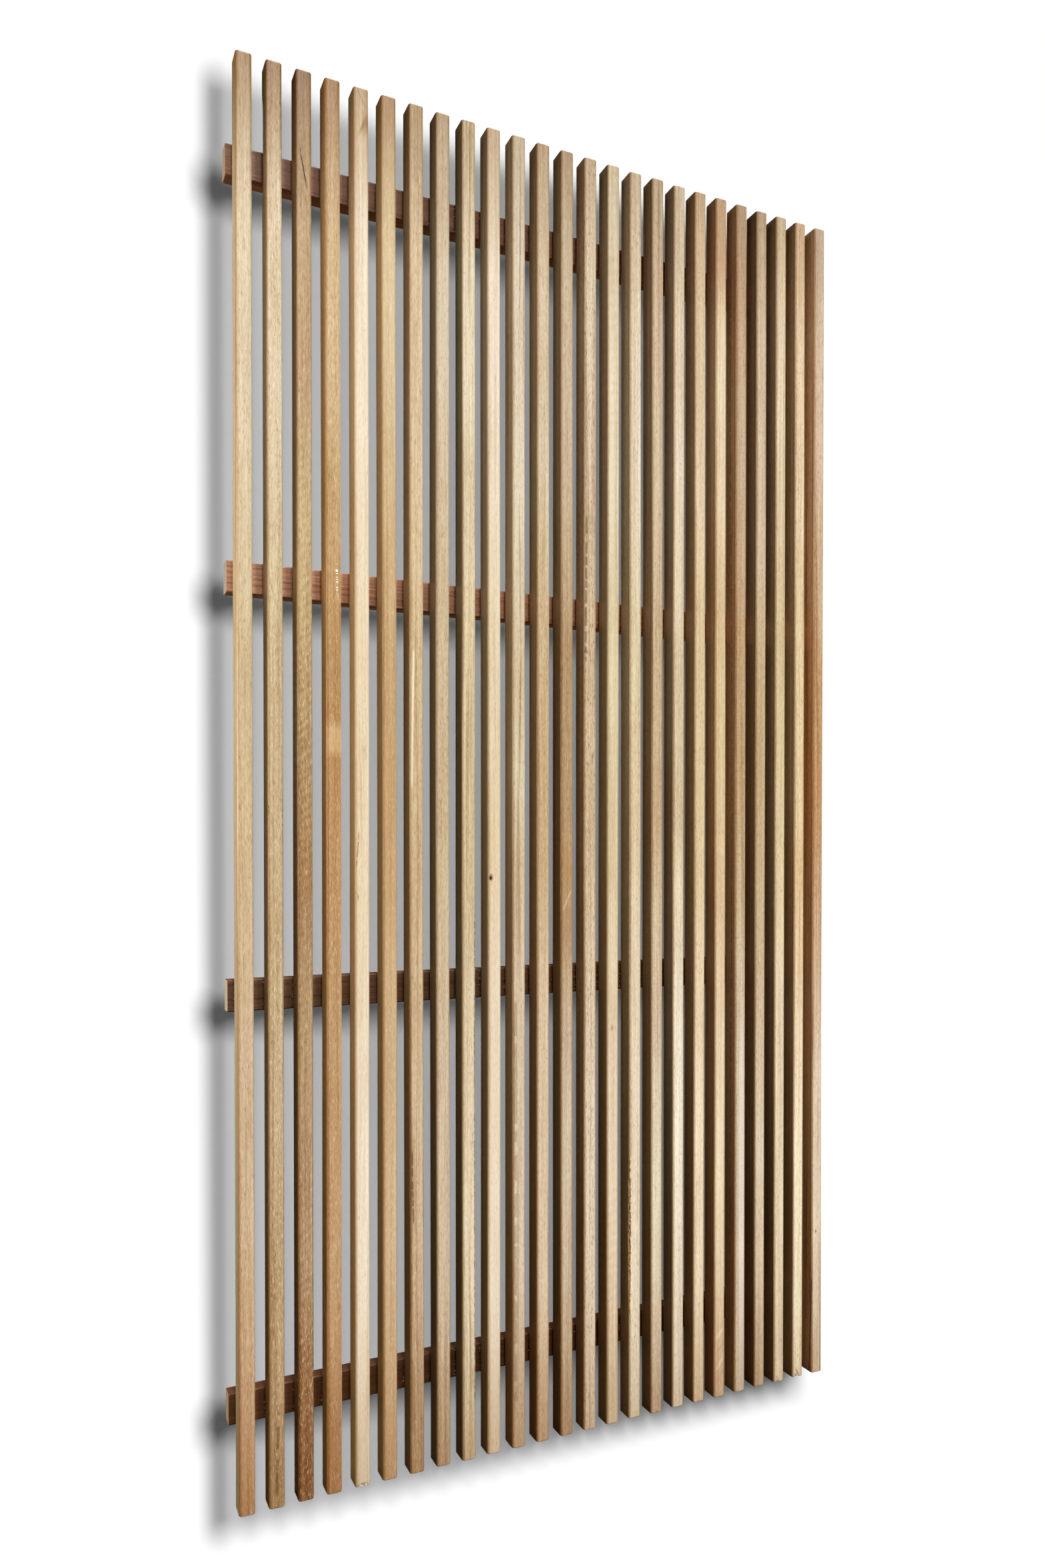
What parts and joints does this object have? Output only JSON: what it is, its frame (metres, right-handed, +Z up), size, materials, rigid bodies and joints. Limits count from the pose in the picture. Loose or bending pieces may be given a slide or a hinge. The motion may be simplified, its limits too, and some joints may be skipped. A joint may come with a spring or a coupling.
{
  "type": "timber privacy screen panel",
  "caption": "Slatted timber privacy screen: upright round-cornered hardwood battens screwed from behind to dark level rails, with even gaps for light and air.",
  "frame": {"origin": "at the bottom ends of the battens, in the middle of the panel's width and depth", "axes": "+X along the rails, to the right seen from the front; -Y towards the viewer, out of the battens' front faces; +Z up along the battens"},
  "size_m": [0.924, 0.048, 1.8],
  "materials": {
    "straw_hardwood": "planed and lightly sanded, semi-matt",
    "honey_hardwood": "planed and lightly sanded, semi-matt",
    "rose_hardwood": "planed and lightly sanded, semi-matt",
    "cream_hardwood": "planed and lightly sanded, semi-matt",
    "olive_hardwood": "planed and lightly sanded, semi-matt",
    "merbau_rail": "planed, dark red-brown, semi-matt",
    "stainless_screw": "stainless, satin"
  },
  "bodies": {
    "root": {"batten_01": "straw_hardwood", "batten_02": "straw_hardwood", "batten_03": "rose_hardwood", "batten_04": "honey_hardwood", "batten_05": "cream_hardwood", "batten_06": "honey_hardwood", "batten_07": "rose_hardwood", "batten_08": "olive_hardwood", "batten_09": "olive_hardwood", "batten_10": "cream_hardwood", "batten_11": "straw_hardwood", "batten_12": "straw_hardwood", "batten_13": "rose_hardwood", "batten_14": "rose_hardwood", "batten_15": "straw_hardwood", "batten_16": "olive_hardwood", "batten_17": "straw_hardwood", "batten_18": "straw_hardwood", "batten_19": "straw_hardwood", "batten_20": "rose_hardwood", "batten_21": "rose_hardwood", "batten_22": "olive_hardwood", "batten_23": "olive_hardwood", "batten_24": "honey_hardwood", "batten_25": "rose_hardwood", "top_rail": "merbau_rail", "upper_middle_rail": "merbau_rail", "lower_middle_rail": "merbau_rail", "bottom_rail": "merbau_rail", "top_rail_screws": "stainless_screw", "upper_middle_rail_screws": "stainless_screw", "lower_middle_rail_screws": "stainless_screw", "bottom_rail_screws": "stainless_screw"}
  },
  "joints": []
}
